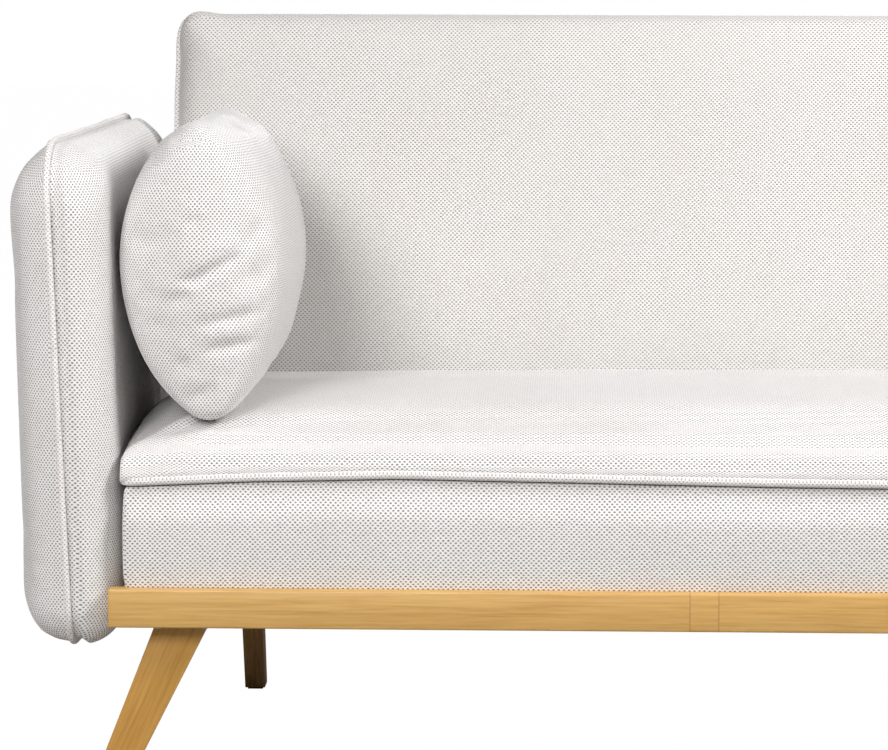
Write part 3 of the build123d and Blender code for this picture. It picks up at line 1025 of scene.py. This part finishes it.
@dataclass
class Back:
    """The folding back: a front and a rear pad with a welt round the rim."""

    cloth: Material
    trim: Material
    lean_deg: float = 18.0
    seam_local: float = -0.015
    cord: float = 0.0034
    held_by_seam: Pair = (0.002, 0.014)
    stand: float = 0.0025
    stand_from: Pair = (0.06, 0.02)
    rise: float = 0.003
    rise_reach: float = 0.12
    corner_fill: float = 0.012
    corner_reach: float = 0.05

    def build(self) -> None:
        """Blow up the pads and sew on the welt."""
        joint = next(j for j in frame["joints"] if j["name"] == "back_recline")
        pivot = Vector(joint["pos_m"])
        angle = math.radians(self.lean_deg)
        across = Vector((0.0, math.cos(angle), -math.sin(angle)))
        pad = Upholstery("back_cushion", ["back_front_pad", "back_rear_pad"], "back",
                         voxel=0.014, pressure=1.5, cap=0.004, fill=0.8)
        pad.start()

        def gap(places: np.ndarray) -> np.ndarray:
            return (places - np.array(pivot)) @ np.array(across) - self.seam_local

        pad.inflate(1.0 - ease(np.abs(gap(points(pad.piece))), *self.held_by_seam))
        places = points(pad.piece)
        top = places[:, 2].max()
        places[:, 2] += self.rise * ease(places[:, 2], top - self.rise_reach, top)
        width = np.abs(places[:, 0]).max()
        corner = np.clip(1.0 - (width - np.abs(places[:, 0])) / self.corner_reach, 0.0, 1.0)
        corner *= np.clip(1.0 - (top - places[:, 2]) / self.corner_reach, 0.0, 1.0)
        places[:, 0] += np.sign(places[:, 0]) * self.corner_fill * corner
        places[:, 2] += self.corner_fill * corner
        set_points(pad.piece, places)
        pad.finish(self.cloth)
        seam = pivot + across * self.seam_local
        cord = pad.welt("back_piping", ["back_welt"], tuple(seam), tuple(across), self.cord,
                        self.trim)
        places = points(cord)
        aside = np.abs(places[:, 0])
        out = ease(aside, *(aside.max() - inset for inset in self.stand_from))
        places[:, 0] += np.sign(places[:, 0]) * self.stand * out
        places[:, 2] += self.stand * ease(places[:, 2], *(top - drop for drop in self.stand_from))
        set_points(cord, places)


@dataclass
class Pillow:
    """A loose pillow that leans on an arm, puckered at its end where the cloth is gathered.

    The creases are lines of X and Z on the front end of the left pillow, each with a depth.
    """

    side: Side
    cloth: Material
    slack: float = 0.94
    settle: float = 0.015
    settle_front: float = 0.16
    settle_foot: float = 0.12
    crowd: float = 0.010
    crowd_reach: float = 0.07
    end_from: Pair = (0.12, 0.19)
    crease_width: float = 0.0066
    crease_fade: float = 0.8
    roll_at: float = 2.6
    roll_width: float = 2.0
    roll_share: float = 0.6
    creases: Sequence[Tuple[Sequence[Pair], float]] = (
        (((-0.775, 0.549), (-0.750, 0.550), (-0.728, 0.563), (-0.695, 0.580)), 0.0038),
        (((-0.789, 0.522), (-0.768, 0.531), (-0.750, 0.531)), 0.0024),
        (((-0.752, 0.501), (-0.714, 0.509), (-0.677, 0.519)), 0.0032),
        (((-0.746, 0.474), (-0.714, 0.481), (-0.680, 0.486)), 0.0036),
        (((-0.773, 0.460), (-0.755, 0.462)), 0.0022),
        (((-0.762, 0.421), (-0.744, 0.430), (-0.732, 0.440)), 0.0026),
        (((-0.780, 0.694), (-0.761, 0.699), (-0.741, 0.697)), 0.0050),
        (((-0.761, 0.608), (-0.752, 0.610), (-0.743, 0.620)), 0.0018),
        (((-0.800, 0.676), (-0.782, 0.680)), 0.0024),
    )

    def crease(self, piece: Piece) -> None:
        """Press the creases into both ends of the pillow, with a soft roll above each.

        Args:
            piece: The pillow.
        """
        places = points(piece)
        out = points(piece, "normal")
        middle = (places[:, 1].min() + places[:, 1].max()) / 2
        flat = np.stack((-np.abs(places[:, 0]), places[:, 2]), axis=1)
        ends = ease(np.abs(places[:, 1] - middle), *self.end_from)
        push = np.zeros(len(places))
        for line, depth in self.creases:
            best = np.full(len(places), 1.0)
            above = np.zeros(len(places))
            along = np.zeros(len(places))
            for number, (start, stop) in enumerate(zip(line[:-1], line[1:])):
                a, b = np.array(start), np.array(stop)
                part = np.clip(((flat - a) @ (b - a)) / ((b - a) @ (b - a)), 0.0, 1.0)
                away = flat - (a + part[:, None] * (b - a))
                distance = np.linalg.norm(away, axis=1)
                above = np.where(distance < best, away[:, 1], above)
                along = np.where(distance < best, (number + part) / (len(line) - 1), along)
                best = np.minimum(best, distance)
            fade = depth * np.maximum(np.sin(math.pi * along), 0.0) ** self.crease_fade
            widths = best / self.crease_width
            push -= fade * np.exp(-widths ** 2)
            roll = np.exp(-((widths - self.roll_at) / self.roll_width) ** 2)
            push += self.roll_share * fade * roll * (above > 0)
        set_points(piece, places + out * (push * ends)[:, None])

    def build(self) -> None:
        """Blow up the pillow, let it settle on the seat and pucker its ends."""
        end = self.side.name.lower()
        pad = Upholstery(f"{end}_loose_pillow", [f"{end}_pillow"], f"{end}_pillow", voxel=0.0065,
                         pressure=3.0, cap=0.009, fill=0.6)
        pad.start()
        low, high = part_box(f"{end}_pillow")
        middle = (low.x + high.x) / 2
        places = points(pad.piece)
        places[:, 0] = middle + (places[:, 0] - middle) * self.slack
        set_points(pad.piece, places)
        pad.inflate(np.zeros(len(places)))
        places = points(pad.piece)
        front = 1.0 - ease(places[:, 1], low.y, low.y + self.settle_front)
        foot = 1.0 - ease(places[:, 2], low.z, low.z + self.settle_foot)
        places[:, 2] -= self.settle * front * foot
        towards = self.side.value * (places[:, 0] - middle)
        crowded = front * ease(towards, 0.0, self.crowd_reach)
        places[:, 0] += self.side.value * self.crowd * crowded
        set_points(pad.piece, places)
        self.crease(pad.piece)
        pad.finish(self.cloth, (middle, (high.x - low.x) / 2))


@dataclass
class WoodBase:
    """The show wood: a front rail and four splayed board legs, with broken edges."""

    honey: Timber
    # A darker, more saturated copy of the honey wood for the front legs: painted shade
    shaded_leg_honey: Timber
    # A paler, greyer copy of the honey wood for the rear legs, lightened against their deep shade: painted light
    rear_honey_painted_light: Timber
    splay_deg: float = 24.2
    edge: float = 0.0025
    weld: float = 0.00002
    flat_deg: float = 2.0
    edge_deg: float = 40.0
    smooth_deg: float = 35.0

    def board(self, node: str, name: str, finish: Timber, slot: str) -> None:
        """Copy a CAD board, break its edges and finish it.

        Args:
            node: The CAD node.
            name: The new piece's name.
            finish: The timber.
            slot: The record's material slot; not used.
        """
        piece = copy_node(node, name)
        with editing(piece):
            bpy.ops.mesh.remove_doubles(threshold=self.weld)
            bpy.ops.mesh.dissolve_limited(angle_limit=math.radians(self.flat_deg))
        modify(piece, "BEVEL", width=self.edge, segments=3, limit_method="ANGLE",
               angle_limit=math.radians(self.edge_deg))
        paint(piece, finish.make())
        focus(piece)
        bpy.ops.object.shade_smooth_by_angle(angle=math.radians(self.smooth_deg))
        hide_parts(node)
        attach(piece, "base")

    def build(self) -> None:
        """Make the rail and the legs."""
        self.board("front_rail", "front_show_rail", self.honey, "honey_wood")
        for side in Side:
            end = side.name.lower()
            lean = self.splay_deg * side.value
            # The front legs' timber is painted shade; the rear legs' timber, next line, is painted light
            front = replace(self.shaded_leg_honey, grain=Axis.Z, turn_deg=(0.0, lean, 0.0))
            rear = replace(self.rear_honey_painted_light, grain=Axis.Z, turn_deg=(-self.splay_deg, 0.0, 0.0))
            self.board(f"front_{end}_leg", f"front_{end}_board_leg", front, "honey_wood")
            self.board(f"rear_{end}_leg", f"rear_{end}_board_leg", rear, "dark_wood")


@dataclass(frozen=True)
class SoftBox:
    """A soft white studio lamp: its place and target, two lengths in metres and its watts."""

    name: str
    place: Triple
    target: Triple
    size: Pair
    power: float

    def hang(self) -> None:
        """Hang the lamp and turn it to its target."""
        bpy.ops.object.light_add(type="AREA", location=self.place)
        lamp = bpy.context.object
        lamp.name = self.name
        aim = Vector(self.target) - Vector(self.place)
        lamp.rotation_euler = aim.to_track_quat("-Z", "Y").to_euler()
        lamp.data.shape = "RECTANGLE"
        lamp.data.size, lamp.data.size_y = self.size
        lamp.data.energy = self.power


@dataclass
class Studio:
    """Camera, light and floor, as in a catalogue picture on white."""

    place: Triple = (-0.36051, -4.51340, 0.90861)
    yaw_deg: float = -1.7714
    pitch_deg: float = 6.2287
    roll_deg: float = 0.1422
    lens_mm: float = 163.38
    sensor_mm: float = 36.0
    clip: Pair = (0.1, 60.0)
    sky: float = 0.07
    floor_size: float = 40.0
    floor_matt: str = "A8A6A3"
    floor_glow: float = 1.055
    glow_share: float = 0.94
    boxes: Sequence[SoftBox] = (
        SoftBox("left_box", (-2.3, -2.3, 3.1), (-0.5, 0.0, 0.45), (1.8, 1.4), 49.0),
        SoftBox("front_box", (-1.6, -4.2, 2.1), (-0.4, 0.0, 0.5), (1.2, 1.2), 103.0),
        SoftBox("over_box", (1.45, -0.95, 2.15), (-0.7, -0.1, 0.5), (1.0, 1.0), 60.0),
        SoftBox("rear_box", (0.4, 3.4, 2.4), (0.0, 0.2, 0.4), (1.6, 1.2), 36.0),
    )

    def camera(self) -> None:
        """Set the camera where the photo was taken from."""
        bpy.ops.object.select_all(action="DESELECT")
        bpy.ops.object.camera_add()
        camera = bpy.context.object
        camera.name = "photo_camera"
        yaw, pitch, roll = (math.radians(a) for a in (self.yaw_deg, self.pitch_deg, self.roll_deg))
        ahead = Vector((math.sin(yaw) * math.cos(pitch), math.cos(yaw) * math.cos(pitch),
                        -math.sin(pitch)))
        right = Vector((math.cos(yaw), -math.sin(yaw), 0.0))
        up = right.cross(ahead)
        across = right * math.cos(roll) + up * math.sin(roll)
        upright = up * math.cos(roll) - right * math.sin(roll)
        turn = Matrix((across, upright, -ahead)).transposed().to_4x4()
        camera.matrix_world = Matrix.Translation(self.place) @ turn
        camera.data.sensor_width = self.sensor_mm
        camera.data.lens = self.lens_mm
        camera.data.clip_start, camera.data.clip_end = self.clip
        camera.data.dof.use_dof = False
        bpy.context.scene.camera = camera

    def floor(self) -> None:
        """Lay a pale floor that looks white and keeps a faint shadow."""
        bpy.ops.object.select_all(action="DESELECT")
        bpy.ops.mesh.primitive_plane_add(size=self.floor_size, location=(0.0, 0.0, 0.0))
        ground = bpy.context.object
        ground.name = "studio_floor"
        material = bpy.data.materials.new("white_studio_floor")
        tree = empty_tree(material)
        path = add_node(tree, "ShaderNodeLightPath")
        share = calc(tree, "MULTIPLY", path.outputs["Is Camera Ray"], self.glow_share)
        matt = add_node(tree, "ShaderNodeBsdfDiffuse", {"Color": linear(self.floor_matt)})
        glow = add_node(tree, "ShaderNodeEmission",
                        {"Color": linear("FFFFFF"), "Strength": self.floor_glow})
        mixed = add_node(tree, "ShaderNodeMixShader", None,
                         {0: share, 1: matt.outputs["BSDF"], 2: glow.outputs["Emission"]})
        add_node(tree, "ShaderNodeOutputMaterial", links={"Surface": mixed.outputs["Shader"]})
        paint(ground, material)

    def world(self) -> None:
        """Fill the room with even white light."""
        world = bpy.data.worlds.new("white_room")
        bpy.context.scene.world = world
        tree = empty_tree(world)
        path = add_node(tree, "ShaderNodeLightPath")
        seen = calc(tree, "MAXIMUM", path.outputs["Is Camera Ray"],
                    path.outputs["Is Transmission Ray"])
        glow = add_node(tree, "ShaderNodeBackground", {"Color": linear("FFFFFF")},
                        {"Strength": remap(tree, seen, (0.0, 1.0), (self.sky, 1.0))})
        add_node(tree, "ShaderNodeOutputWorld", links={"Surface": glow.outputs["Background"]})

    def build(self) -> None:
        """Set the whole studio."""
        self.camera()
        self.world()
        self.floor()
        for box in self.boxes:
            box.hang()
        bpy.context.scene.view_settings.view_transform = "Standard"


@dataclass
class InnerParts:
    """The frame, hardware and fillings, which keep their CAD form."""

    finishes: Dict[str, Union[Timber, Speckle]]

    def build(self) -> None:
        """Paint each CAD node by the record's slot."""
        made = {slot: finish.make() for slot, finish in self.finishes.items()}
        for part in frame["record"]["subparts"]:
            if part["material_slot"] in made:
                paint(frame["nodes"][part["node"]], made[part["material_slot"]])


def main() -> None:
    """Build the whole scene."""
    logging.basicConfig(level=logging.INFO)
    cloth = BasketWeave().make()
    # The cords' weave has smaller cells and paler painted shade in its gaps
    trim = BasketWeave("polyester_weave_cut_on_the_bias", gap="958C86", pitch_mm=4.2,
                       row_mm=2.4).make()
    for side in Side:
        Arm(side, cloth, trim).build()
        Pillow(side, cloth).build()
    Seat(cloth, trim).build()
    # The back's weave has smaller cells and darker yarns; the darker yarns are painted shade on the leaning back,
    # and its gaps hold paler painted shade
    shaded_tight_weave = BasketWeave("polyester_basket_weave_tight", "E0DDDB", "D9D5D2", "6A625D",
                        pitch_mm=4.8, row_mm=2.3).make()
    Back(shaded_tight_weave, trim).build()
    honey = Timber("honey_rubberwood", "DAAF67", "CFA15A", "BF9048", joints=(-0.232, -0.202))
    # Rear legs: a paler, greyer copy of the honey wood, lightened against their deep shade: painted light
    rear_honey_painted_light = Timber("browned_rubberwood", "D9AE74", "CC9C5F", "B2844B")
    # Front legs: a darker, more saturated copy of the honey wood: painted shade
    shaded_leg_honey = Timber("honey_rubberwood_turned", "D2A04F", "C69241", "B27E31")
    WoodBase(honey, shaded_leg_honey, rear_honey_painted_light).build()
    InnerParts({
        "frame_timber": Timber("sawn_pine", "D9BC8C", "CBA873", "B48C58", roughness=0.7, coat=0.0),
        "webbing": Speckle("elastic_webbing", "8A7B66", "6E614F", 1.2, 0.85),
        "felt": Speckle("grey_needle_felt", "A7A49F", "7F7C78", 2.0, 0.95),
        "foam": Speckle("cut_foam", "EDE6CF", "DDD3B6", 1.5, 0.9),
        "dust_cloth": Speckle("black_spunbond", "2B2A29", "1E1D1D", 1.0, 0.9),
        "black_plastic": Speckle("moulded_black_nylon", "1F1F20", "161617", 0.6, 0.5),
        "steel": Speckle("zinc_plated_steel", "B9BBBD", "A2A5A8", 3.0, 0.38, 1.0, 0.02),
    }).build()
    Studio().build()


if __name__ == "__main__":
    main()
